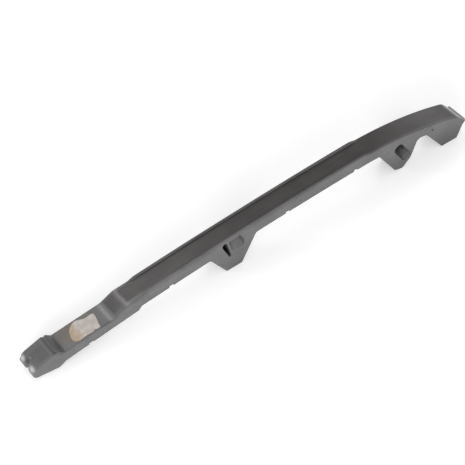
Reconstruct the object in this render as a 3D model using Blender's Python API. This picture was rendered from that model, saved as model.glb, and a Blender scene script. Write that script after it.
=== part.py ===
"""Timing chain guide: one rail of moulded nylon.

A notched block, a flat recess and a ramp lead to the long sliding face, which runs between
two low rims and curves down to a hooked nose.  Three pods stand below the rail.

Metres, +Z up.  X runs from the notched tip to the nose and Y across the rail.  The feet of
the middle and the end pod stand at Z = 0, and the origin lies under the middle of the part.
"""

import math

import bmesh
import bpy
from mathutils import Matrix, Vector

# Overall section
WIDTH = 0.0121
RAIL_DEPTH = 0.0058
RIM_HEIGHT = 0.00095
RIM_WIDTH = 0.0013

# Block at the notched end: tip to crest, then two falls with a ledge between them
BLOCK_LENGTH = 0.01153
BLOCK_SLOPE = math.radians(15.5)
BLOCK_CLEARANCE = 0.0005
TIP_CLEARANCE = 0.0023
HEEL_LENGTH = 0.0037
FIRST_FALL_RUN = 0.00113
FIRST_FALL = 0.00060
LEDGE_LENGTH = 0.00124
LEDGE_FALL = 0.00004
SECOND_FALL_RUN = 0.0028
SECOND_FALL = 0.00226
SLOT_WIDTH = 0.0026
SLOT_LENGTH = 0.0033
SLOT_FLARE = 0.0010

# Flat recess and ramp
FLAT_LENGTH = 0.0255
FLAT_SLOPE = math.radians(6.5)
FLAT_DEPTH = 0.0061
RAMP_RUN = 0.0067
RAMP_RISE = 0.00335
RAMP_DEPTH = 0.0075
RAMP_BELLY = 0.0062
BELLY_STEP = 0.0016

# Sliding face: two arcs that join in one tangent, from the ramp's crest to the nose
CREST_HEIGHT = 0.01485
FACE_SLOPE = math.radians(6.16)
GENTLE_RADIUS = 1.760
GENTLE_LENGTH = 0.1350
TIGHT_RADIUS = 0.190
TIGHT_LENGTH = 0.0646
RIM_START = 0.0080
RIM_RAMP = 0.0035
RIM_STOP = 0.0589
CHANNEL_STEP = 0.00004

# Hooked nose
NOSE_RUN = 0.0054
NOSE_FALL = 0.0053
LIP_LENGTH = 0.0012
LIP_HEIGHT = 0.0005
NOSE_UNDERCUT = 0.0021
NOSE_THICKNESS = 0.0021

# Pods
MID_FOOT_AT = 0.0547
MID_FOOT_LENGTH = 0.0088
MID_BACK_RUN = 0.0092
MID_FRONT_RUN = 0.0081
END_FOOT_LENGTH = 0.0102
END_FRONT_RUN = 0.0028
END_BACK_RUN = 0.0124
ARCH_WIDTH = 0.0059
POD_GAP = 0.0266
RIGHT_FOOT_LENGTH = 0.0050
RIGHT_FOOT_BACK = 0.0021
RIGHT_FOOT_FRONT = 0.0009
RIGHT_KNEE_RUN = 0.0050
RIGHT_KNEE_HEIGHT = 0.0058
RIGHT_BACK_RUN = 0.0120

# Pockets cored into the pods from the near side
SLIT_TOP_WIDTH = 0.0029
SLIT_FOOT_WIDTH = 0.0013
SLIT_DEPTH = 0.0065
SLIT_RUN = 0.0019
SLIT_RISE = 0.0096
SLIT_LEAN = math.radians(20)
SCOOP_START = 0.0020
SCOOP_LIFT = 0.0026
SCOOP_WIDTH = 0.0079
SCOOP_TOP_WIDTH = 0.0088
SCOOP_CORNER = 0.0012
SCOOP_DEPTH = 0.0040
SCOOP_FADE = 0.02
SCOOP_SHOULDER = 0.0058
POCKET_ROOF = 0.0006
POCKET_WIDTH = 0.0055
POCKET_LENGTH = 0.0138
POCKET_DEPTH = 0.0090
POCKET_STEP = 0.0002
SHELF_LENGTH = 0.0036
SHELF_DEPTH = 0.0024
SHELF_RIM = 0.0003
POCKET_WALL = 0.0014
POCKET_RISE = 0.0033
END_CORE_DEPTH = 0.0085
END_CORE_WALL = 0.0022
PIT_RUN = 0.0036
PIT_RISE = 0.0015
PIT_WIDTH = 0.0013
PIT_DEPTH = 0.0012

# Cored underside: bays between cross ribs, and drain notches through the flanges
FLANGE = 0.0018
SKIN = 0.0024
RIB = 0.0014
BAY_PITCH = 0.0135
NOTCH_WIDTH = 0.0023
NOTCH_HEIGHT = 0.0012
NOTCHES_FROM_CREST = (0.0235, 0.0900, 0.1315)
FLAT_NOTCH_AT = 0.0132

# Rounding of the long edges, by stretch
BLOCK_EDGE = 0.0018
FLAT_EDGE = 0.0008
RAIL_EDGE = 0.0011
NEAR_EDGE = 0.0017
END_EDGE = 0.0005
FOOT_EDGE = 0.0004
LIP_EDGE = 0.0002

# Rounding of the outline's corners, seen from the side
TIP_RADIUS = 0.0042
TIP_FOOT_RADIUS = 0.0024
BLOCK_CREST_RADIUS = 0.0014
LEDGE_RADIUS = 0.0007
FOOT_RADIUS = 0.0006
POD_FRONT_RADIUS = 0.0016
ROOT_RADIUS = 0.0018
KNEE_RADIUS = 0.0060
ARCH_RADIUS = 0.0028
RAMP_FOOT_RADIUS = 0.0045
RAMP_CREST_RADIUS = 0.0045
NOSE_RADIUS = 0.0070
LIP_RADIUS = 0.0002

OUTSIDE = 0.0010
ARC_STEP = math.radians(11)
FACE_STEPS = (16, 24)
EDGE_STEPS = 5


def clear_scene():
    for item in list(bpy.data.objects):
        bpy.data.objects.remove(item, do_unlink=True)


def new_collection(name):
    collection = bpy.data.collections.new(name)
    bpy.context.scene.collection.children.link(collection)
    return collection


def block_length():
    """From the tip to the foot of the block's second fall."""
    return BLOCK_LENGTH + FIRST_FALL_RUN + LEDGE_LENGTH + SECOND_FALL_RUN


def crest_point():
    """Where the ramp meets the sliding face, which is the face's zero."""
    return Vector((block_length() + FLAT_LENGTH + RAMP_RUN, CREST_HEIGHT))


def upward(angle):
    return Vector((-math.sin(angle), math.cos(angle)))


def face_arcs():
    """Centre, radius, first heading and first station of the face's two arcs."""
    first_centre = crest_point() - GENTLE_RADIUS * upward(FACE_SLOPE)
    joint_angle = FACE_SLOPE - GENTLE_LENGTH / GENTLE_RADIUS
    joint = first_centre + GENTLE_RADIUS * upward(joint_angle)
    second_centre = joint - TIGHT_RADIUS * upward(joint_angle)
    first = (first_centre, GENTLE_RADIUS, FACE_SLOPE, 0.0)
    second = (second_centre, TIGHT_RADIUS, joint_angle, GENTLE_LENGTH)
    return first, second


def face_point(station, lift=0.0):
    """Point of the sliding face at a distance along it, lifted square to it."""
    first, second = face_arcs()
    centre, radius, start_angle, start = first if station < GENTLE_LENGTH else second
    angle = start_angle - (station - start) / radius
    return centre + (radius + lift) * upward(angle)


def face_station(x, lift=0.0):
    """Distance along the face of the point that lies at x, lifted square to the face."""
    first, second = face_arcs()
    joint_x = face_point(GENTLE_LENGTH, lift).x
    centre, radius, start_angle, start = first if x < joint_x else second
    angle = -math.asin((x - centre.x) / (radius + lift))
    return start + (start_angle - angle) * radius


def face_run(start, stop, lift=0.0, clear=OUTSIDE):
    """Points along the face between two stations, closer together on the tight arc.

    Between the two ends no point comes nearer to them than the clear length."""
    steps = []
    for step in range(1, FACE_STEPS[0]):
        steps.append(GENTLE_LENGTH * step / FACE_STEPS[0])
    for step in range(FACE_STEPS[1]):
        steps.append(GENTLE_LENGTH + TIGHT_LENGTH * step / FACE_STEPS[1])
    inner = [station for station in steps if start + clear < station < stop - clear]
    return [face_point(station, lift) for station in [start] + inner + [stop]]


def corner(point, radius=0.0):
    return Vector(point), radius


def rounded(corners):
    """Closed outline with an arc in place of each corner that has a radius.

    Each point comes with the largest edge rounding that fits there: a convex arc shrinks
    as the outline moves inwards, and nothing else does."""
    outline = []
    count = len(corners)
    for index, (point, radius) in enumerate(corners):
        before = (corners[index - 1][0] - point).normalized()
        after = (corners[(index + 1) % count][0] - point).normalized()
        turn = math.pi - before.angle(after)
        if radius == 0.0 or turn < math.radians(2):
            outline.append((point, WIDTH))
            continue
        reach = radius * math.tan(turn / 2)
        centre = point + (before + after).normalized() * radius / math.cos(turn / 2)
        first = (point + before * reach) - centre
        last = (point + after * reach) - centre
        steps = max(2, math.ceil(turn / ARC_STEP))
        convex = first.cross(last) < 0
        for step in range(steps + 1):
            swing = Matrix.Rotation(math.copysign(turn, first.cross(last)) * step / steps, 2)
            outline.append((centre + swing @ first, radius * 0.9 if convex else WIDTH))
    return outline


def places(outline):
    return [point for point, limit in outline]


def nose_points():
    """Face end, lip foot, lip top, nose tip and undercut of the hooked nose."""
    face_end = face_point(GENTLE_LENGTH + TIGHT_LENGTH)
    fall = Vector((NOSE_RUN, -NOSE_FALL))
    lip_foot = face_end + fall
    lip_top = lip_foot + Vector((LIP_LENGTH / 2, LIP_HEIGHT))
    tip = lip_foot + Vector((LIP_LENGTH, -LIP_HEIGHT / 2))
    undercut = tip - Vector((NOSE_UNDERCUT, NOSE_THICKNESS))
    return face_end, lip_foot, lip_top, tip, undercut


def pod_points():
    """Corners of the three pods, each from its back root to its front root."""
    edge = -RAIL_DEPTH
    undercut = nose_points()[4]
    end_front = Vector((undercut.x - END_FRONT_RUN, 0.0))
    end_back = Vector((end_front.x - END_FOOT_LENGTH, 0.0))
    end_root = face_point(face_station(end_back.x - END_BACK_RUN, edge), edge)
    right_front = Vector((end_back.x - POD_GAP, RIGHT_FOOT_FRONT))
    right_back = Vector((right_front.x - RIGHT_FOOT_LENGTH, RIGHT_FOOT_BACK))
    knee = Vector((right_front.x + RIGHT_KNEE_RUN, RIGHT_KNEE_HEIGHT))
    right_root = face_point(face_station(end_root.x - ARCH_WIDTH, edge), edge)
    right_back_root = face_point(face_station(right_back.x - RIGHT_BACK_RUN, edge), edge)
    mid_back = Vector((crest_point().x + MID_FOOT_AT, 0.0))
    mid_front = Vector((mid_back.x + MID_FOOT_LENGTH, 0.0))
    mid_back_root = face_point(face_station(mid_back.x - MID_BACK_RUN, edge), edge)
    mid_front_root = face_point(face_station(mid_front.x + MID_FRONT_RUN, edge), edge)
    return {
        "end": (end_root, end_back, end_front, undercut),
        "right": (right_back_root, right_back, right_front, knee, right_root),
        "mid": (mid_back_root, mid_back, mid_front, mid_front_root),
    }


def block_points():
    """Corners of the notched block's top, from the tip to the foot of its second fall."""
    flat_end = crest_point() - Vector((RAMP_RUN, RAMP_RISE))
    flat_start = flat_end - Vector((FLAT_LENGTH, FLAT_LENGTH * math.tan(FLAT_SLOPE)))
    ledge_end = flat_start + Vector((-SECOND_FALL_RUN, SECOND_FALL))
    ledge_start = ledge_end + Vector((-LEDGE_LENGTH, LEDGE_FALL))
    crest = ledge_start + Vector((-FIRST_FALL_RUN, FIRST_FALL))
    tip = crest - Vector((BLOCK_LENGTH, BLOCK_LENGTH * math.tan(BLOCK_SLOPE)))
    return tip, crest, ledge_start, ledge_end, flat_start, flat_end


def belly_points():
    """Corners of the underside between the block's heel and the rail."""
    flat_start = block_points()[4]
    heel_top = flat_start - Vector((0.0, FLAT_DEPTH))
    heel = Vector((flat_start.x - HEEL_LENGTH, BLOCK_CLEARANCE))
    belly_end = face_point(RAMP_BELLY) - Vector((0.0, RAMP_DEPTH))
    edge_x = belly_end.x + BELLY_STEP
    rail_start = face_point(face_station(edge_x, -RAIL_DEPTH), -RAIL_DEPTH)
    return heel, heel_top, belly_end, rail_start


def rail_outline():
    """The whole guide seen from the near side, with the rims' tops as its upper line."""
    tip, crest, ledge_start, ledge_end, flat_start, flat_end = block_points()
    face_end, lip_foot, lip_top, nose, undercut = nose_points()
    heel, heel_top, belly_end, rail_start = belly_points()
    pods = pod_points()
    edge = -RAIL_DEPTH
    rim_end = GENTLE_LENGTH + TIGHT_LENGTH - RIM_STOP
    rims = [face_point(RIM_START)]
    rims += face_run(RIM_START + RIM_RAMP, rim_end - RIM_RAMP, RIM_HEIGHT)
    bare = face_run(rim_end, GENTLE_LENGTH + TIGHT_LENGTH)[:-1]
    roots = [rail_start.x, pods["mid"][0].x, pods["mid"][3].x, pods["right"][0].x]
    roots = [face_station(x, edge) for x in roots]
    near_stretch = face_run(roots[0], roots[1], edge, 2 * ROOT_RADIUS)
    mid_stretch = face_run(roots[2], roots[3], edge, 2 * ROOT_RADIUS)
    corners = [
        corner((0.0, TIP_CLEARANCE), TIP_FOOT_RADIUS),
        corner(tip, TIP_RADIUS),
        corner(crest, BLOCK_CREST_RADIUS),
        corner(ledge_start, LEDGE_RADIUS),
        corner(ledge_end, LEDGE_RADIUS),
        corner(flat_start, LEDGE_RADIUS),
        corner(flat_end, RAMP_FOOT_RADIUS),
        corner(crest_point(), RAMP_CREST_RADIUS),
    ]
    corners += [corner(point) for point in rims + bare]
    corners += [
        corner(face_end, NOSE_RADIUS),
        corner(lip_foot, LIP_RADIUS),
        corner(lip_top, LIP_RADIUS),
        corner(nose, LIP_RADIUS),
        corner(undercut, LIP_RADIUS),
        corner(pods["end"][2], FOOT_RADIUS),
        corner(pods["end"][1], FOOT_RADIUS),
        corner(pods["end"][0], ARCH_RADIUS),
        corner(pods["right"][4], ARCH_RADIUS),
        corner(pods["right"][3], KNEE_RADIUS),
        corner(pods["right"][2], POD_FRONT_RADIUS),
        corner(pods["right"][1], FOOT_RADIUS * 2),
        corner(pods["right"][0], ROOT_RADIUS),
    ]
    corners += [corner(point) for point in reversed(mid_stretch[1:-1])]
    corners += [
        corner(pods["mid"][3], ROOT_RADIUS),
        corner(pods["mid"][2], POD_FRONT_RADIUS),
        corner(pods["mid"][1], FOOT_RADIUS),
        corner(pods["mid"][0], ROOT_RADIUS),
    ]
    corners += [corner(point) for point in reversed(near_stretch[1:-1])]
    corners += [
        corner(rail_start, FOOT_RADIUS),
        corner(belly_end, FOOT_RADIUS * 2),
        corner(heel_top, ROOT_RADIUS),
        corner(heel, FOOT_RADIUS * 2),
    ]
    return rounded(corners)


def prism(name, outline, low, high, collection, upright=True):
    """Closed outline as a 2D curve, drawn out between two places and made a mesh.

    An upright prism has its outline in XZ and runs along Y, another has it in XY and
    runs along Z."""
    curve = bpy.data.curves.new(name, "CURVE")
    curve.dimensions = "2D"
    curve.fill_mode = "BOTH"
    curve.extrude = (high - low) / 2
    spline = curve.splines.new("POLY")
    spline.points.add(len(outline) - 1)
    for point, place in zip(spline.points, outline):
        point.co = (place[0], place[1], 0.0, 1.0)
    spline.use_cyclic_u = True
    drawn = bpy.data.objects.new(name + "_curve", curve)
    collection.objects.link(drawn)
    if upright:
        drawn.rotation_euler = (math.pi / 2, 0.0, 0.0)
        drawn.location = (0.0, (low + high) / 2, 0.0)
    else:
        drawn.location = (0.0, 0.0, (low + high) / 2)
    bpy.context.view_layer.update()
    evaluated = drawn.evaluated_get(bpy.context.evaluated_depsgraph_get())
    mesh = bpy.data.meshes.new_from_object(evaluated)
    mesh.transform(drawn.matrix_world)
    mesh.name = name
    bpy.data.objects.remove(drawn, do_unlink=True)
    solid = bpy.data.objects.new(name, mesh)
    collection.objects.link(solid)
    weld_and_flatten(mesh)
    return solid


def weld_and_flatten(mesh):
    """Weld the caps to the walls, and leave each cap as one flat face."""
    shape = bmesh.new()
    shape.from_mesh(mesh)
    bmesh.ops.remove_doubles(shape, verts=shape.verts, dist=0.000001)
    bmesh.ops.dissolve_limit(
        shape,
        angle_limit=math.radians(0.05),
        verts=shape.verts,
        edges=shape.edges,
        use_dissolve_boundaries=False,
    )
    bmesh.ops.recalc_face_normals(shape, faces=shape.faces)
    shape.to_mesh(mesh)
    shape.free()


def as_cutter(solid):
    solid.hide_render = True
    solid.display_type = "WIRE"
    return solid


def blend(x, start, stop, first, last):
    share = min(1.0, max(0.0, (x - start) / (stop - start)))
    return first + (last - first) * share


def edge_radius(place, limit, rail_edge):
    """Rounding of the long edge at a place on the outline."""
    crest = crest_point()
    face_end = nose_points()[0]
    if place.x < crest.x:
        radius = blend(place.x, BLOCK_LENGTH, block_length(), BLOCK_EDGE, FLAT_EDGE)
        if place.y < block_points()[4].y - FLAT_DEPTH / 2:
            radius = FLAT_EDGE
    elif place.x > face_end.x or place.y < face_point(face_station(place.x)).y - RAIL_DEPTH / 2:
        radius = FOOT_EDGE
    else:
        ramp = blend(place.x, crest.x, crest.x + RIM_START, FLAT_EDGE, rail_edge)
        taper = blend(place.x, crest.x + GENTLE_LENGTH / 2, crest.x + GENTLE_LENGTH, 0.0, 1.0)
        radius = ramp + (END_EDGE - rail_edge) * taper
    return min(radius, limit)


def rounded_slab(name, outline, collection):
    """Outline drawn out across the width, with rounded long edges.

    The rounding differs from stretch to stretch, so the slab is a loft of rings: each one
    is the outline moved inwards by a different amount at every point."""
    count = len(outline)
    inward = []
    for index in range(count):
        along = (outline[index][0] - outline[index - 1][0]).normalized()
        onward = (outline[(index + 1) % count][0] - outline[index][0]).normalized()
        first = Vector((along.y, -along.x))
        second = Vector((onward.y, -onward.x))
        inward.append((first + second) / (1 + first.dot(second)))
    near_radii = [edge_radius(place, limit, NEAR_EDGE) for place, limit in outline]
    far_radii = [edge_radius(place, limit, RAIL_EDGE) for place, limit in outline]
    quarter = [math.pi / 2 * step / EDGE_STEPS for step in range(EDGE_STEPS + 1)]
    rings = [(-1, near_radii, angle) for angle in reversed(quarter)]
    rings += [(1, far_radii, angle) for angle in quarter]
    shape = bmesh.new()
    loops = []
    for side, radii, angle in rings:
        loop = []
        for place, normal, radius in zip(places(outline), inward, radii):
            moved = place + normal * radius * (1 - math.cos(angle))
            across = side * (WIDTH / 2 - radius * (1 - math.sin(angle)))
            loop.append(shape.verts.new((moved.x, across, moved.y)))
        loops.append(loop)
    for loop, following in zip(loops, loops[1:]):
        for index in range(count):
            ahead = (index + 1) % count
            shape.faces.new((loop[index], following[index], following[ahead], loop[ahead]))
    shape.faces.new(loops[0])
    shape.faces.new(reversed(loops[-1]))
    bmesh.ops.recalc_face_normals(shape, faces=shape.faces)
    mesh = bpy.data.meshes.new(name)
    shape.to_mesh(mesh)
    shape.free()
    slab = bpy.data.objects.new(name, mesh)
    collection.objects.link(slab)
    return slab


def cut(solid, cutters):
    for cutter in cutters:
        boolean = solid.modifiers.new(cutter.name, "BOOLEAN")
        boolean.operation = "DIFFERENCE"
        boolean.solver = "EXACT"
        boolean.object = as_cutter(cutter)


def channel_cutter(collection):
    """Space between the rims, down to the sliding face."""
    start = RIM_START - OUTSIDE
    stop = GENTLE_LENGTH + TIGHT_LENGTH - RIM_STOP + OUTSIDE
    floor = face_run(start, stop, -CHANNEL_STEP)
    roof = [face_point(stop, 2 * RIM_HEIGHT), face_point(start, 2 * RIM_HEIGHT)]
    middle = face_point(stop / 2, 2 * RIM_HEIGHT)
    half = WIDTH / 2 - RIM_WIDTH
    return prism("channel_cutter", floor + [roof[0], middle, roof[1]], -half, half, collection)


def slot_cutter(collection):
    """Slot between the two lobes of the tip, with a flared mouth and a round end."""
    half = SLOT_WIDTH / 2
    mouth = half + SLOT_FLARE
    flare = []
    for step in range(5):
        angle = math.pi / 2 * step / 4
        reach = SLOT_FLARE * (1 - math.sin(angle))
        flare.append(Vector((SLOT_FLARE - SLOT_FLARE * math.cos(angle), half + reach)))
    end = []
    for step in range(9):
        angle = math.pi / 2 - math.pi * step / 8
        end.append(Vector((SLOT_LENGTH - half + half * math.cos(angle), half * math.sin(angle))))
    upper = [Vector((-OUTSIDE, mouth))] + flare
    lower = [Vector((point.x, -point.y)) for point in reversed(upper)]
    top = block_points()[1].y + OUTSIDE
    return prism("slot_cutter", upper + end + lower, -OUTSIDE, top, collection, upright=False)


def leaning_slot(start, stop, start_width, stop_width):
    """Outline of a tapered slot with round ends between two points."""
    along = (stop - start).normalized()
    across = Vector((-along.y, along.x)) / 2
    outline = []
    for centre, width, turned in ((start, start_width, 0.0), (stop, stop_width, math.pi)):
        for step in range(9):
            swing = Matrix.Rotation(turned + math.pi * step / 8, 2)
            outline.append(centre + swing @ across * width)
    return outline


def roof_over(x):
    """Highest place at x that the pockets may reach under the sliding face."""
    return face_point(face_station(x)).y - POCKET_ROOF


def mid_pocket_cutters(collection):
    """Leaning slit in the middle pod, and the scoop beside it that fades out downwards."""
    near = -WIDTH / 2
    bottom = pod_points()["mid"][1] + Vector((SLIT_RUN, SLIT_RISE))
    rise = roof_over(bottom.x) - SLIT_TOP_WIDTH / 2 - bottom.y
    top = bottom + Vector((-rise * math.tan(SLIT_LEAN), rise))
    slit = prism(
        "slit_cutter",
        leaning_slot(top, bottom, SLIT_TOP_WIDTH, SLIT_FOOT_WIDTH),
        near - OUTSIDE,
        near + SLIT_DEPTH,
        collection,
    )
    low = bottom.y + SCOOP_LIFT
    side = bottom.x + SCOOP_WIDTH
    inner = top.x + SCOOP_TOP_WIDTH
    start = top.x + SCOOP_START
    outline = rounded([
        corner((start, roof_over(start)), SCOOP_CORNER / 3),
        corner((start + (top.y - low) * math.tan(SLIT_LEAN), low), SCOOP_CORNER / 3),
        corner((side, low), SCOOP_CORNER),
        corner((side, bottom.y + SCOOP_SHOULDER), SCOOP_CORNER),
        corner((inner, roof_over(inner)), SCOOP_CORNER / 3),
    ])
    scoop = prism("scoop_cutter", places(outline), near - OUTSIDE, near + SCOOP_DEPTH, collection)
    for vertex in scoop.data.vertices:
        if vertex.co.y > near:
            share = (vertex.co.z - low) / (top.y - low)
            vertex.co.y = near + SCOOP_DEPTH * (SCOOP_FADE + (1 - SCOOP_FADE) * share)
    return [scoop, slit]


def leaning_pocket(low_front, along, across, length, rounding):
    """Outline of a pocket that leans with the pod, measured back from its low front corner."""
    low_back = low_front - across
    return places(rounded([
        corner(low_front, rounding / 2),
        corner(low_front - along * length, rounding),
        corner(low_back - along * length, rounding),
        corner(low_back, rounding / 2),
    ]))


def right_pocket_cutters(collection):
    """Deep leaning pocket in the right pod, and the sloping shelf below it."""
    near = -WIDTH / 2
    back_root, back = pod_points()["right"][:2]
    knee, front_root = pod_points()["right"][3:]
    along = (back - back_root).normalized()
    across = Vector((-along.y, along.x))
    up_front = (front_root - knee).normalized()
    low_front = knee + up_front * POCKET_RISE - Vector((POCKET_WALL / up_front.y, 0.0))
    rounding = POCKET_WIDTH * 0.45
    shelf = prism(
        "shelf_cutter",
        leaning_pocket(low_front, along, across * POCKET_WIDTH, POCKET_LENGTH, rounding),
        near - OUTSIDE,
        near + SHELF_DEPTH,
        collection,
    )
    for vertex in shelf.data.vertices:
        if vertex.co.y > near:
            back_from_end = (low_front - Vector((vertex.co.x, vertex.co.z))).dot(along)
            share = back_from_end / SHELF_LENGTH
            vertex.co.y = near + SHELF_RIM + (SHELF_DEPTH - SHELF_RIM) * share
    deep_front = low_front - along * SHELF_LENGTH - across * POCKET_STEP
    deep_width = POCKET_WIDTH - 2 * POCKET_STEP
    deep_length = POCKET_LENGTH - SHELF_LENGTH - POCKET_STEP
    pocket = prism(
        "pocket_cutter",
        leaning_pocket(deep_front, along, across * deep_width, deep_length, rounding),
        near - OUTSIDE,
        near + POCKET_DEPTH,
        collection,
    )
    return [shelf, pocket]


def bay_outline(start, stop, lower, upper):
    return [
        face_point(start, lower),
        face_point(stop, lower),
        face_point(stop, upper),
        face_point(start, upper),
    ]


def core_cutters(collection):
    """Bays of the cored underside, with a rib between each two of them."""
    half = WIDTH / 2 - FLANGE
    edge = -RAIL_DEPTH
    pods = pod_points()
    rail_start = belly_points()[3]
    stretches = [
        (rail_start.x + RIB, pods["mid"][0].x - RIB),
        (pods["mid"][3].x + RIB, pods["right"][0].x - RIB),
    ]
    cutters = []
    for first_x, last_x in stretches:
        first = face_station(first_x, edge)
        last = face_station(last_x, edge)
        count = max(1, round((last - first) / BAY_PITCH))
        pitch = (last - first + RIB) / count
        for bay in range(count):
            start = first + pitch * bay
            outline = bay_outline(start, start + pitch - RIB, edge - OUTSIDE, -SKIN)
            name = "bay_cutter_%02d" % len(cutters)
            cutters.append(prism(name, outline, -half, half, collection))
    flat_start, flat_end = block_points()[4:]
    along = (flat_end - flat_start).normalized()
    down = Vector((along.y, -along.x))
    run = (flat_end - flat_start).length - 2 * RIB
    count = max(1, round(run / BAY_PITCH))
    pitch = (run + RIB) / count
    for bay in range(count):
        start = flat_start + along * (RIB + pitch * bay)
        stop = start + along * (pitch - RIB)
        low = down * (FLAT_DEPTH + 2 * OUTSIDE)
        outline = [start + down * SKIN, start + low, stop + low, stop + down * SKIN]
        name = "bay_cutter_%02d" % len(cutters)
        cutters.append(prism(name, outline, -half, half, collection))
    return cutters


def notch_cutters(collection):
    """Drain notches across the underside's flanges."""
    half = WIDTH / 2 + OUTSIDE
    edge = -RAIL_DEPTH
    cutters = []
    for station in NOTCHES_FROM_CREST:
        start = station - NOTCH_WIDTH / 2
        outline = bay_outline(start, start + NOTCH_WIDTH, edge - OUTSIDE, edge + NOTCH_HEIGHT)
        name = "notch_cutter_%d" % len(cutters)
        cutters.append(prism(name, outline, -half, half, collection))
    heel_top, belly_end = belly_points()[1:3]
    along = (belly_end - heel_top).normalized()
    up = Vector((-along.y, along.x))
    low = heel_top + along * (FLAT_NOTCH_AT - NOTCH_WIDTH / 2) - up * OUTSIDE
    high = low + up * (OUTSIDE + NOTCH_HEIGHT)
    outline = [low, low + along * NOTCH_WIDTH, high + along * NOTCH_WIDTH, high]
    cutters.append(prism("notch_cutter_flat", outline, -half, half, collection))
    return cutters


def end_pod_cutters(collection):
    """Core of the end pod from the far side, and the small pit at its root."""
    root, back, front, undercut = pod_points()["end"]
    far = WIDTH / 2
    wall = END_CORE_WALL
    roof = face_point(face_station(back.x), -SKIN)
    back_lean = (root - back).normalized()
    low_back = back + Vector((wall * 1.4, wall))
    high_back = low_back + back_lean * (roof.y - low_back.y - wall) / back_lean.y
    low_front = front + Vector((-wall, wall))
    high_front = undercut + Vector((-wall * 1.2, wall * 0.8))
    corners = [corner(point, wall / 2) for point in (low_back, low_front, high_front, high_back)]
    core = prism(
        "end_core_cutter",
        places(rounded(corners)),
        far - END_CORE_DEPTH,
        far + OUTSIDE,
        collection,
    )
    pit_centre = root + Vector((PIT_RUN, PIT_RISE))
    pit_outline = []
    for step in range(10):
        swing = Matrix.Rotation(math.tau * step / 10, 2)
        pit_outline.append(pit_centre + swing @ Vector((PIT_WIDTH / 2, 0.0)))
    pit = prism("pit_cutter", pit_outline, -far - OUTSIDE, -far + PIT_DEPTH, collection)
    return [core, pit]


def nylon():
    material = bpy.data.materials.new("charcoal_nylon")
    material.use_nodes = True
    shader = material.node_tree.nodes["Principled BSDF"]
    shader.inputs["Base Color"].default_value = (0.095, 0.090, 0.088, 1.0)
    shader.inputs["Roughness"].default_value = 0.55
    shader.inputs["Metallic"].default_value = 0.0
    material.diffuse_color = (0.20, 0.19, 0.19, 1.0)
    return material


def build():
    clear_scene()
    parts = new_collection("timing_chain_guide")
    cutters = new_collection("cutters")
    outline = rail_outline()
    rail = rounded_slab("guide_rail", outline, parts)
    cut(rail, [channel_cutter(cutters), slot_cutter(cutters)])
    cut(rail, mid_pocket_cutters(cutters))
    cut(rail, right_pocket_cutters(cutters))
    cut(rail, core_cutters(cutters))
    cut(rail, notch_cutters(cutters))
    cut(rail, end_pod_cutters(cutters))
    rail.data.materials.append(nylon())
    rail.data.shade_smooth()
    rail.data.set_sharp_from_angle(angle=math.radians(32))
    half_length = max(place.x for place, limit in outline) / 2
    for item in [rail] + list(cutters.objects):
        item.location.x = -half_length


build()
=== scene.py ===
# %% [markdown]
# # A timing chain guide in moulded nylon
#
# The part is one long curved rail, moulded in one piece.
# A notched block and a flat recess lead up a ramp to the sliding face.
# Three pods stand below the rail, and a hooked nose closes the far end.
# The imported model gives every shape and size.
# This file gives the part its finish, a scrap of label, a table, soft light and a camera.

import math

import bmesh
import bpy
from mathutils import Matrix, Vector


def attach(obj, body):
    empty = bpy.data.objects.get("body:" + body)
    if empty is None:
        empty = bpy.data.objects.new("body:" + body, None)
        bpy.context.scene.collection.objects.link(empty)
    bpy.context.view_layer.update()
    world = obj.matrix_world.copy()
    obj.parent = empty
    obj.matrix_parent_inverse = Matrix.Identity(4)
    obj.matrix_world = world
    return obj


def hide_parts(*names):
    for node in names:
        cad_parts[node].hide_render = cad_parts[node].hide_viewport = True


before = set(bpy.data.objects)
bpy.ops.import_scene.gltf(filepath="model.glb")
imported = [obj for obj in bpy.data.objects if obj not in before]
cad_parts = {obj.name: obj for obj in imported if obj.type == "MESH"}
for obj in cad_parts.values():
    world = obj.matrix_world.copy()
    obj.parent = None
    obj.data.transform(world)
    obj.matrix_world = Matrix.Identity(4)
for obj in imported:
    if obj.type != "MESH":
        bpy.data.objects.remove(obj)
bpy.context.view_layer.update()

# %% [markdown]
# ## The camera
#
# The camera comes first, because every later choice is judged through it.
# A long lens at about 0.6 m keeps the rail's two ends near the same scale.
# Its place was fitted to corners of the part that can be found in the picture.
# The two half-pixel shifts put those corners on the middle of their pixels.

# %% Set up the camera
PICTURE_WIDTH = 465
CAMERA_PLACE = Vector((-0.268503, -0.330102, 0.476126))
CAMERA_RIGHT = Vector((0.793441, -0.608647, 0.000086))
CAMERA_UP = Vector((0.451603, 0.588811, 0.670341))

camera_data = bpy.data.cameras.new("camera")
camera_data.lens = 105.41
camera_data.sensor_width = 36.0
camera_data.shift_x = -0.5 / PICTURE_WIDTH
camera_data.shift_y = 0.5 / PICTURE_WIDTH
camera_data.clip_start = 0.01
camera_data.clip_end = 20.0

camera = bpy.data.objects.new("camera", camera_data)
camera_axes = Matrix((CAMERA_RIGHT, CAMERA_UP, CAMERA_RIGHT.cross(CAMERA_UP))).transposed()
camera.matrix_world = Matrix.Translation(CAMERA_PLACE) @ camera_axes.to_4x4()
bpy.context.scene.collection.objects.link(camera)
bpy.context.scene.camera = camera
print("camera stands", round(CAMERA_PLACE.length, 3), "m from the middle of the part")

# %% [markdown]
# ## The rail's mesh
#
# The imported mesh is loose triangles, which would be lit as flat facets.
# A copy has its doubles merged, so neighbours share corners and can be shaded smooth.
# Triangles that lie in one plane are joined, which stops streaks beside cut-outs.
# Edges sharper than a limit stay crisp, and the rounded long edges roll over softly.
# A weighted normal keeps the large flat sides flat right up to those roundings.

# %% Copy and merge the rail
MERGE_DISTANCE = 0.000002
FLAT_ANGLE = math.radians(0.2)
CRISP_ANGLE = math.radians(28)
FLAT_SIDE_WEIGHT = 90


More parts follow.
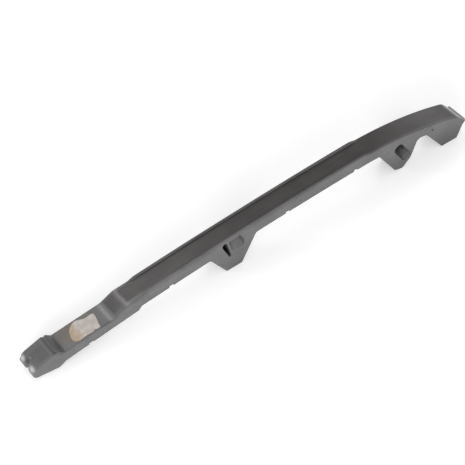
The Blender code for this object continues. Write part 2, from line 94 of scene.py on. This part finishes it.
def merged_copy(node_name, piece_name):
    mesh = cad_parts[node_name].data.copy()
    mesh.name = piece_name
    mesh.materials.clear()
    shape = bmesh.new()
    shape.from_mesh(mesh)
    bmesh.ops.remove_doubles(shape, verts=shape.verts, dist=MERGE_DISTANCE)
    bmesh.ops.dissolve_limit(shape, angle_limit=FLAT_ANGLE, verts=shape.verts, edges=shape.edges)
    shape.to_mesh(mesh)
    shape.free()
    mesh.shade_smooth()
    mesh.set_sharp_from_angle(angle=CRISP_ANGLE)
    piece = bpy.data.objects.new(piece_name, mesh)
    bpy.context.scene.collection.objects.link(piece)
    return piece


rail = merged_copy("guide_rail", "moulded_rail")
weighting = rail.modifiers.new("flat_sides", "WEIGHTED_NORMAL")
weighting.mode = "FACE_AREA_WITH_ANGLE"
weighting.keep_sharp = True
weighting.weight = FLAT_SIDE_WEIGHT
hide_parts("guide_rail")
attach(rail, "root")
print("rail", len(rail.data.vertices), "corners", len(rail.data.polygons), "faces")

# %% [markdown]
# ## Helpers for the finishes
#
# Every finish is built from a few kinds of node.
# Object coordinates are used throughout: they are in metres and stay with the part.
# Stretching them with a Mapping node turns round blotches into lengthwise streaks.

# %% Start a finish


def new_finish(name):
    material = bpy.data.materials.new(name)
    material.use_nodes = True
    tree = material.node_tree
    shader = tree.nodes["Principled BSDF"]
    place = tree.nodes.new("ShaderNodeTexCoord").outputs["Object"]
    return material, tree, shader, place


def stretched(tree, place, scale):
    node = tree.nodes.new("ShaderNodeMapping")
    node.inputs["Scale"].default_value = scale
    tree.links.new(place, node.inputs["Vector"])
    return node.outputs["Vector"]


def noise(tree, place, scale, detail=3.0, roughness=0.5):
    node = tree.nodes.new("ShaderNodeTexNoise")
    node.inputs["Scale"].default_value = scale
    node.inputs["Detail"].default_value = detail
    node.inputs["Roughness"].default_value = roughness
    tree.links.new(place, node.inputs["Vector"])
    return node.outputs["Fac"]


print("coordinates and noise ready")

# %% [markdown]
# ## Fades and masks
#
# A mask is a number from 0 to 1 that says where a mark shows.
# A fade turns any measure into such a number, between a low and a high limit.
# It is written as those two limits and then the mask at each, or 0 and 1 when left out.
# Two masks shown together are multiplied, and the stronger of two is their maximum.
# Some noise added to a measure before its fade gives the mark a ragged edge.

# %% Build the masks


def combine(tree, operation, first, second):
    node = tree.nodes.new("ShaderNodeMath")
    node.operation = operation
    for socket, value in zip(node.inputs, (first, second)):
        if isinstance(value, (int, float)):
            socket.default_value = value
        else:
            tree.links.new(value, socket)
    return node.outputs["Value"]


def both(tree, first, second):
    return combine(tree, "MULTIPLY", first, second)


def strongest(tree, first, *others):
    for other in others:
        first = combine(tree, "MAXIMUM", first, other)
    return first


def ragged(tree, value, wave, amount):
    return combine(tree, "ADD", value, both(tree, wave, amount))


def shared(tree, first, second, first_share):
    return combine(tree, "ADD", both(tree, first, first_share), both(tree, second, 1 - first_share))


def fade(tree, value, low, high, to_low=0.0, to_high=1.0):
    node = tree.nodes.new("ShaderNodeMapRange")
    node.interpolation_type = "SMOOTHSTEP"
    node.inputs["From Min"].default_value = low
    node.inputs["From Max"].default_value = high
    node.inputs["To Min"].default_value = to_low
    node.inputs["To Max"].default_value = to_high
    tree.links.new(value, node.inputs["Value"])
    return node.outputs["Result"]


print("masks ready")

# %% [markdown]
# ## Places on the part
#
# A mark sits at a place, so its mask starts from a distance to that place.
# An egg-shaped region is one way to bound it: a middle and a reach along each axis.
# A band across the rail is another: its middle, where it starts to fade and where it is gone.
# How far a surface looks upwards tells the top of the rail from its sides.

# %% Measure places


def axes(tree, vector):
    split = tree.nodes.new("ShaderNodeSeparateXYZ")
    tree.links.new(vector, split.inputs["Vector"])
    return split.outputs["X"], split.outputs["Y"], split.outputs["Z"]


def from_middle(tree, value, middle):
    return combine(tree, "ABSOLUTE", combine(tree, "SUBTRACT", value, middle), 0.0)


def band(tree, value, middle, core, reach):
    return fade(tree, from_middle(tree, value, middle), core, reach, 1.0, 0.0)


def egg(tree, place, middle, reach, tilt=0.0):
    node = tree.nodes.new("ShaderNodeMapping")
    node.vector_type = "TEXTURE"
    node.inputs["Location"].default_value = middle
    node.inputs["Rotation"].default_value = (0, tilt, 0)
    node.inputs["Scale"].default_value = reach
    tree.links.new(place, node.inputs["Vector"])
    away = tree.nodes.new("ShaderNodeVectorMath")
    away.operation = "LENGTH"
    tree.links.new(node.outputs["Vector"], away.inputs[0])
    return away.outputs["Value"]


def facing_up(tree):
    return axes(tree, tree.nodes.new("ShaderNodeNewGeometry").outputs["Normal"])[2]


print("places ready")

# %% [markdown]
# ## Tones and relief
#
# A mask mixes one tone into another.
# A bump node bends the light on a surface as a fine relief would, with no new faces.

# %% Mix tones and bend the light


def tint(tree, amount, first, second):
    node = tree.nodes.new("ShaderNodeMix")
    node.data_type = "RGBA"
    tree.links.new(amount, node.inputs["Factor"])
    for socket, value in zip((node.inputs[6], node.inputs[7]), (first, second)):
        if isinstance(value, tuple):
            socket.default_value = (*value, 1.0)
        else:
            tree.links.new(value, socket)
    return node.outputs[2]


def bump(tree, height, distance, strength, below=None):
    node = tree.nodes.new("ShaderNodeBump")
    node.inputs["Strength"].default_value = strength
    node.inputs["Distance"].default_value = distance
    tree.links.new(height, node.inputs["Height"])
    if below is not None:
        tree.links.new(below, node.inputs["Normal"])
    return node.outputs["Normal"]


print("tones and relief ready")

# %% [markdown]
# ## Where the chain runs
#
# The rail is one moulding, so it has one finish, but the chain has polished its face.
# The polished strip starts just past the crest of the ramp and ends at the nose.
# The chain touches the ramp less, so the strip there is only half as strong.
# Between the rims the strip stays inside them, and beyond their ends it reaches both edges.
# Its place is worked out from object coordinates and from how far a surface looks upwards.

# %% Find the polished strip
CREST_X = -0.0783
NOSE_X = 0.1220
STRIP_START = (CREST_X + 0.0010, CREST_X + 0.0032)
STRIP_END = (NOSE_X - 0.0042, NOSE_X - 0.0006, 1.0, 0.0)
RAMP_WEAR = (-0.0812, 0.0016, 0.0032)
RAMP_STRENGTH = 0.55
STRIP_MIDDLE_Y = 0.0005
STRIP_SIDES = (0.0037, 0.0058, 1.0, 0.0)
NARROW_START = (CREST_X, CREST_X + 0.035, 0.0005, 0.0)
WIDE_END = (0.022, 0.052, 0.0, 0.0008)
STRIP_UPWARD = (0.55, 0.95)


def strip_length(tree, place, x):
    wave = noise(tree, place, 260, detail=2.0)
    begins = fade(tree, ragged(tree, x, wave, 0.0012), *STRIP_START)
    ends = fade(tree, x, *STRIP_END)
    on_ramp = both(tree, band(tree, x, *RAMP_WEAR), RAMP_STRENGTH)
    return strongest(tree, both(tree, begins, ends), on_ramp)


def strip_width(tree, x, y):
    away = from_middle(tree, y, STRIP_MIDDLE_Y)
    away = combine(tree, "ADD", away, fade(tree, x, *NARROW_START))
    away = combine(tree, "SUBTRACT", away, fade(tree, x, *WIDE_END))
    return fade(tree, away, *STRIP_SIDES)


def polished_strip(tree, place, x, y):
    upward = fade(tree, facing_up(tree), *STRIP_UPWARD)
    return both(tree, strip_length(tree, place, x), both(tree, strip_width(tree, x, y), upward))


print("strip from", CREST_X, "to", NOSE_X, "m")

# %% [markdown]
# ## The moulded skin
#
# The sides, the block and the pods keep the skin that the mould gave them.
# It is a charcoal nylon with a satin sheen.
# Real mouldings are never one even tone: fibres and flow marks leave soft clouds.
# A large and a small noise together give those clouds.

# %% Mix the skin
TONE_LIMITS = (0.34, 0.66)
SKIN_TONES = ((0.086, 0.084, 0.085), (0.120, 0.117, 0.118))
CLOUD_SHARE = 0.7


def moulded_skin(tree, clouds, specks):
    shade = shared(tree, clouds, specks, CLOUD_SHARE)
    return tint(tree, fade(tree, shade, *TONE_LIMITS), *SKIN_TONES)


print("skin from", SKIN_TONES[0], "to", SKIN_TONES[1])

# %% [markdown]
# ## Old glue and painted shade
#
# The label that once covered more of the recess has left a brownish ring of glue.
# Painted shade darkens the skin where light reaches it less.
# That is in the steps of the block, at the ramp's end of the recess and in the right pocket.
# The pods are also painted darker towards their feet, more so towards the nose.
# Painting these marks by position keeps them in place on the part.

# %% Stain the skin and paint the shade
GLUE_TONE = (0.105, 0.080, 0.060)
GLUE_MIDDLE = (-0.0996, 0.0005, 0.0098)
GLUE_REACH = (0.0098, 0.0062, 0.0010)
GLUE_EDGE = (0.95, 1.40, 0.7, 0.0)
RECESS_SLOPE = math.radians(6.5)

# The tone of the painted shade, for the steps, the recess end, the pocket and the pod feet.
PAINTED_SHADE_TONE = (0.045, 0.042, 0.042)
STEPS_MIDDLE = (-0.1122, 0.0, 0.0102)
STEPS_REACH = (0.0026, 0.0080, 0.0040)
STEPS_EDGE = (0.75, 1.25, 0.75, 0.0)
POCKET_MIDDLE = (0.0855, -0.0013, 0.0105)
POCKET_REACH = (0.0080, 0.0050, 0.0075)
POCKET_EDGE = (0.70, 1.08, 0.85, 0.0)
POD_HEIGHTS = (0.001, 0.017, 0.85, 0.0)
POD_LENGTHS = (-0.07, 0.04)
TOP_STRENGTH = (0.4, 0.8, 0.0, 0.75)
BLOCK_FALL = (-0.1153, 0.0004, 0.0011)
RECESS_END = (-0.0893, 0.0012, 0.0036)
RECESS_STRENGTH = 0.7


def glued(tree, place, specks, skin):
    away = egg(tree, place, GLUE_MIDDLE, GLUE_REACH, tilt=-RECESS_SLOPE)
    return tint(tree, fade(tree, ragged(tree, away, specks, 0.5), *GLUE_EDGE), skin, GLUE_TONE)


# Painted shade: darkens the block's steps, the recess end and the right pocket, and the pods towards their
# feet.
def painted_shade(tree, place, specks, skin):
    x, _, z = axes(tree, place)
    in_steps = ragged(tree, egg(tree, place, STEPS_MIDDLE, STEPS_REACH), specks, 0.3)
    steps = fade(tree, in_steps, *STEPS_EDGE)
    pocket = fade(tree, egg(tree, place, POCKET_MIDDLE, POCKET_REACH), *POCKET_EDGE)
    low = both(tree, fade(tree, z, *POD_HEIGHTS), fade(tree, x, *POD_LENGTHS))
    on_top = fade(tree, facing_up(tree), *TOP_STRENGTH)
    fall = both(tree, band(tree, x, *BLOCK_FALL), on_top)
    recess = both(tree, both(tree, band(tree, x, *RECESS_END), on_top), RECESS_STRENGTH)
    return tint(tree, strongest(tree, low, fall, steps, pocket, recess), skin, PAINTED_SHADE_TONE)


print("glue", GLUE_TONE, "painted_shading", PAINTED_SHADE_TONE)

# %% [markdown]
# ## Painted highlights
#
# The two bends of the ramp get a painted highlight: a paler tone on upward-facing skin.
# The rims of the block's steps get a fainter one.
# The lobes of the tip and the hooked nose get the palest tone, a painted glint.

# %% Paint highlights on the bends
# The tone of the painted highlights on the ramp's bends and the step rims.
HIGHLIGHT_TONE = (0.190, 0.186, 0.188)
FOOT_BEND = (-0.0853, 0.0002, 0.0022)
CREST_BEND = (-0.0768, 0.0003, 0.0021)
BLOCK_CREST = (-0.1167, 0.0001, 0.0009)
LEDGE_RIM = (-0.1127, 0.0001, 0.0006)
RIM_STRENGTH = 0.35
HIGHLIGHT_UPWARD = (0.75, 0.95, 0.0, 0.62)

# The tone of the painted glints on the lobes and the nose.
GLINT_TONE = (0.350, 0.345, 0.347)
LOBES = ((-0.1262, 0.0036, 0.0073), (-0.1262, -0.0040, 0.0073))
LOBE_REACH = (0.0019, 0.0024, 0.0021)
LOBE_EDGE = (0.1, 1.0, 1.0, 0.0)
NOSE_START = (NOSE_X - 0.0030, NOSE_X)
NOSE_UPWARD = (0.3, 0.6)


# Painted highlight: lightens the ramp's two bends and, more faintly, the step rims.
def painted_highlight(tree, x, skin):
    rims = strongest(tree, band(tree, x, *BLOCK_CREST), band(tree, x, *LEDGE_RIM))
    bends = strongest(tree, band(tree, x, *FOOT_BEND), band(tree, x, *CREST_BEND))
    highlit = strongest(tree, bends, both(tree, rims, RIM_STRENGTH))
    return tint(tree, both(tree, highlit, fade(tree, facing_up(tree), *HIGHLIGHT_UPWARD)), skin, HIGHLIGHT_TONE)


# Painted glints: lightens the lobes of the tip and the upward-facing end of the nose.
def painted_glints(tree, place, x, skin):
    for lobe in LOBES:
        skin = tint(tree, fade(tree, egg(tree, place, lobe, LOBE_REACH), *LOBE_EDGE), skin, GLINT_TONE)
    on_nose = both(tree, fade(tree, x, *NOSE_START), fade(tree, facing_up(tree), *NOSE_UPWARD))
    return tint(tree, on_nose, skin, GLINT_TONE)


print("painted_highlight", HIGHLIGHT_TONE, "painted_glints", GLINT_TONE)

# %% [markdown]
# ## Moulded nylon
#
# The worn strip is darker and browner than the skin, with fine marks along its length.
# Those marks are noise squeezed across the rail and stretched along it.
# The skin has a very fine grain, which is a third noise used as a bump.
# The gloss changes a little from place to place, because an even gloss looks like paint.

# %% Mix the moulded nylon
WORN_TONES = ((0.028, 0.0245, 0.0235), (0.047, 0.0405, 0.0395))
WORN_CLOUD_SHARE = 0.6
SKIN_GLOSS = (0.3, 0.7, 0.27, 0.35)
WORN_GLOSS = (0.3, 0.7, 0.30, 0.42)
CLOUD_RELIEF = (0.00008, 0.35)
GRAIN_RELIEF = (0.00002, 0.4)
MARK_RELIEF = (0.00001, 0.5)


def moulded_nylon():
    material, tree, shader, place = new_finish("moulded_nylon")
    x, y, _ = axes(tree, place)
    clouds = noise(tree, stretched(tree, place, (0.6, 1, 1)), 130, detail=4.0)
    specks = noise(tree, place, 900, detail=2.0)
    grain = noise(tree, place, 3200, detail=1.0)
    streaks = noise(tree, stretched(tree, place, (30, 1500, 30)), 1.0, detail=4.0, roughness=0.65)
    hair_lines = noise(tree, stretched(tree, place, (60, 5200, 60)), 1.0, detail=2.0)

    # The glue ring comes first, then the painted shade, the painted highlights and the painted glints.
    skin = glued(tree, place, specks, moulded_skin(tree, clouds, specks))
    skin = painted_highlight(tree, x, painted_shade(tree, place, specks, skin))
    skin = painted_glints(tree, place, x, skin)
    worn_shade = shared(tree, clouds, streaks, WORN_CLOUD_SHARE)
    worn = tint(tree, fade(tree, worn_shade, *TONE_LIMITS), *WORN_TONES)
    strip = polished_strip(tree, place, x, y)
    tree.links.new(tint(tree, strip, skin, worn), shader.inputs["Base Color"])

    skin_rough = fade(tree, clouds, *SKIN_GLOSS)
    change = combine(tree, "SUBTRACT", fade(tree, streaks, *WORN_GLOSS), skin_rough)
    tree.links.new(combine(tree, "ADD", skin_rough, both(tree, strip, change)), shader.inputs["Roughness"])
    shader.inputs["Specular IOR Level"].default_value = 0.5

    fine = bump(tree, grain, *GRAIN_RELIEF, below=bump(tree, clouds, *CLOUD_RELIEF))
    marks = both(tree, strip, combine(tree, "ADD", streaks, hair_lines))
    tree.links.new(bump(tree, marks, *MARK_RELIEF, below=fine), shader.inputs["Normal"])
    return material


NYLON = moulded_nylon()
rail.data.materials.append(NYLON)
print("finish", NYLON.name, len(NYLON.node_tree.nodes), "nodes")

# %% [markdown]
# ## The scrap of label
#
# A torn scrap of plain paper label is stuck on the flat recess.
# Nothing is printed on it, and one end is stained by its glue.
# Its outline starts as one face on a few points, in millimetres.
# The edges are split and roughened, as torn paper is, with a fixed seed.
# The face then gets the thickness of paper and is laid on the sloping recess.

# %% Cut the scrap of label
RECESS_START = Vector((-0.11017, 0, 0.008595))
PAPER = 0.00010
TEAR_CUTS = 2
TEAR_DEPTH = 0.6
TEAR_SEED = 7
TORN_EDGE = (
    (-103.55, 1.9), (-102.15, 3.4), (-100.75, 4.3), (-99.35, 4.8), (-98.05, 4.8), (-96.05, 3.9),
    (-94.65, 3.3), (-93.25, 3.1), (-91.95, 3.3), (-90.95, 3.3), (-90.15, 2.8), (-90.05, 1.9),
    (-90.65, -1.1), (-91.25, -3.0), (-91.55, -4.9), (-92.25, -5.1), (-93.25, -4.9), (-94.15, -4.5),
    (-95.35, -5.1), (-97.25, -4.9), (-98.35, -4.7), (-99.05, -4.9), (-101.25, -5.1), (-102.35, -5.1),
    (-103.65, -4.5), (-104.55, -3.4), (-104.65, -2.5), (-104.55, -1.0),
)


def linked_piece(name, shape):
    mesh = bpy.data.meshes.new(name)
    shape.to_mesh(mesh)
    shape.free()
    piece = bpy.data.objects.new(name, mesh)
    bpy.context.scene.collection.objects.link(piece)
    return piece


def label_scrap():
    shape = bmesh.new()
    shape.faces.new([shape.verts.new((x / 1000, y / 1000, 0)) for x, y in TORN_EDGE])
    bmesh.ops.subdivide_edges(
        shape, edges=shape.edges, cuts=TEAR_CUTS, fractal=TEAR_DEPTH, along_normal=0.0, seed=TEAR_SEED
    )
    for vert in shape.verts:
        vert.co.z = (vert.co.x - RECESS_START.x) * math.tan(RECESS_SLOPE) + RECESS_START.z
    bmesh.ops.recalc_face_normals(shape, faces=shape.faces)
    upper = bmesh.ops.extrude_face_region(shape, geom=shape.faces[:])
    lifted = [v for v in upper["geom"] if isinstance(v, bmesh.types.BMVert)]
    bmesh.ops.translate(shape, verts=lifted, vec=(0, 0, PAPER))
    bmesh.ops.recalc_face_normals(shape, faces=shape.faces)
    return linked_piece("label_scrap", shape)


scrap = label_scrap()
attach(scrap, "root")
print("scrap", len(scrap.data.polygons), "faces")

# %% [markdown]
# ## Label paper
#
# The paper is matt and slightly fibrous, with a tan stain at the rounded end.
# Its fibres are a stretched noise, used for the gloss and as a bump.

# %% Mix the label paper
PAPER_TONES = ((0.420, 0.376, 0.347), (0.51, 0.465, 0.436))
PAPER_LIMITS = (0.35, 0.65)
STAIN_TONE = (0.385, 0.280, 0.184)
STAIN_EDGE = (-0.1000, -0.0950, 0.75, 0.0)
PAPER_GLOSS = (0.3, 0.7, 0.72, 0.88)
FIBRE_RELIEF = (0.00004, 0.5)


def label_paper():
    material, tree, shader, place = new_finish("label_paper")
    blotches = noise(tree, place, 420, detail=4.0)
    fibres = noise(tree, stretched(tree, place, (900, 2600, 900)), 1.0, detail=3.0)
    colour = tint(tree, fade(tree, blotches, *PAPER_LIMITS), *PAPER_TONES)
    stain = fade(tree, ragged(tree, axes(tree, place)[0], blotches, 0.006), *STAIN_EDGE)
    tree.links.new(tint(tree, stain, colour, STAIN_TONE), shader.inputs["Base Color"])
    tree.links.new(fade(tree, fibres, *PAPER_GLOSS), shader.inputs["Roughness"])
    tree.links.new(bump(tree, fibres, *FIBRE_RELIEF), shader.inputs["Normal"])
    shader.inputs["Specular IOR Level"].default_value = 0.25
    return material


PAPER_FINISH = label_paper()
scrap.data.materials.append(PAPER_FINISH)
print("finish", PAPER_FINISH.name, len(PAPER_FINISH.node_tree.nodes), "nodes")

# %% [markdown]
# ## The table
#
# The part lies on a plain white table.
# The table is a wide sheet just under the feet, bright enough to read as white.
# A little light is added to it for the camera and for mirror images, and the shadow stays.
# Far from the part the lamps reach it less, so there the camera sees a little more added.

# %% Lay the table
TABLE_SIZE = 3.0
TABLE_PARTS = 8
TABLE_DROP = 0.00003
TABLE_TONES = ((0.85, 0.85, 0.85), (0.87, 0.87, 0.875))
TABLE_LIFT = 0.32
FAR_LIFT = (0.30, 0.90, 0.0, 0.35)


def white_table():
    shape = bmesh.new()
    bmesh.ops.create_grid(shape, x_segments=TABLE_PARTS, y_segments=TABLE_PARTS, size=TABLE_SIZE / 2)
    bmesh.ops.translate(shape, verts=shape.verts, vec=(0, 0, -TABLE_DROP))
    return linked_piece("table", shape)


def table_white():
    material, tree, shader, place = new_finish("table_white")
    tree.links.new(tint(tree, noise(tree, place, 6, detail=2.0), *TABLE_TONES), shader.inputs["Base Color"])
    shader.inputs["Roughness"].default_value = 0.9
    shader.inputs["Specular IOR Level"].default_value = 0.1
    path = tree.nodes.new("ShaderNodeLightPath")
    by_camera = path.outputs["Is Camera Ray"]
    near = both(tree, strongest(tree, by_camera, path.outputs["Is Glossy Ray"]), TABLE_LIFT)
    far = both(tree, by_camera, fade(tree, egg(tree, place, (0, 0, 0), (1, 1, 1)), *FAR_LIFT))
    shader.inputs["Emission Color"].default_value = (1, 1, 1, 1)
    tree.links.new(combine(tree, "ADD", near, far), shader.inputs["Emission Strength"])
    return material


table = white_table()
table.data.materials.append(table_white())
print("table", TABLE_SIZE, "m wide")

# %% [markdown]
# ## The light
#
# The picture has almost no shadow, so most of the light is an even pale sky.
# A narrow soft lamp behind the part puts a sheen on the ramp and the block.
# Two more stand low at the back, and they lighten the lobes of the tip and the nose.
# Two wide lamps at the front lift the near side, as a light tent around a part does.
# The camera doesn't see the lamps, and the two at the left draw no mirror image on the skin.

# %% Hang the lamps and set the sky
SKY_STRENGTH = 0.58


def soft_lamp(name, place, width, height, power, glossy=True):
    data = bpy.data.lights.new(name, "AREA")
    data.shape = "RECTANGLE"
    data.size = width
    data.size_y = height
    data.energy = power
    lamp = bpy.data.objects.new(name, data)
    lamp.location = place
    lamp.rotation_euler = (-place).to_track_quat("-Z", "Y").to_euler()
    lamp.visible_camera = False
    lamp.visible_glossy = glossy
    bpy.context.scene.collection.objects.link(lamp)
    print(name, "stands", round(place.length, 2), "m away,", power, "W")


soft_lamp("lamp_behind", Vector((0.084, 0.532, 0.843)) * 1.3, 0.18, 0.40, 1.4)
soft_lamp("lamp_back_left", Vector((-0.78, 0.56, 0.22)) * 1.1, 0.24, 0.24, 2.4, glossy=False)
soft_lamp("lamp_back_right", Vector((0.77, 0.53, 0.34)) * 1.1, 0.34, 0.26, 0.55)
soft_lamp("lamp_front_right", Vector((0.40, -0.80, 0.42)) * 1.2, 1.0, 0.6, 1.6)
soft_lamp("lamp_front", Vector((-0.62, -0.55, 0.22)), 0.5, 0.4, 6.4, glossy=False)

sky = bpy.data.worlds.new("sky")
sky.use_nodes = True
sky_shader = sky.node_tree.nodes["Background"]
sky_shader.inputs["Color"].default_value = (1, 1, 1, 1)
sky_shader.inputs["Strength"].default_value = SKY_STRENGTH
bpy.context.scene.world = sky
bpy.context.scene.view_settings.view_transform = "Standard"
print("sky", SKY_STRENGTH)
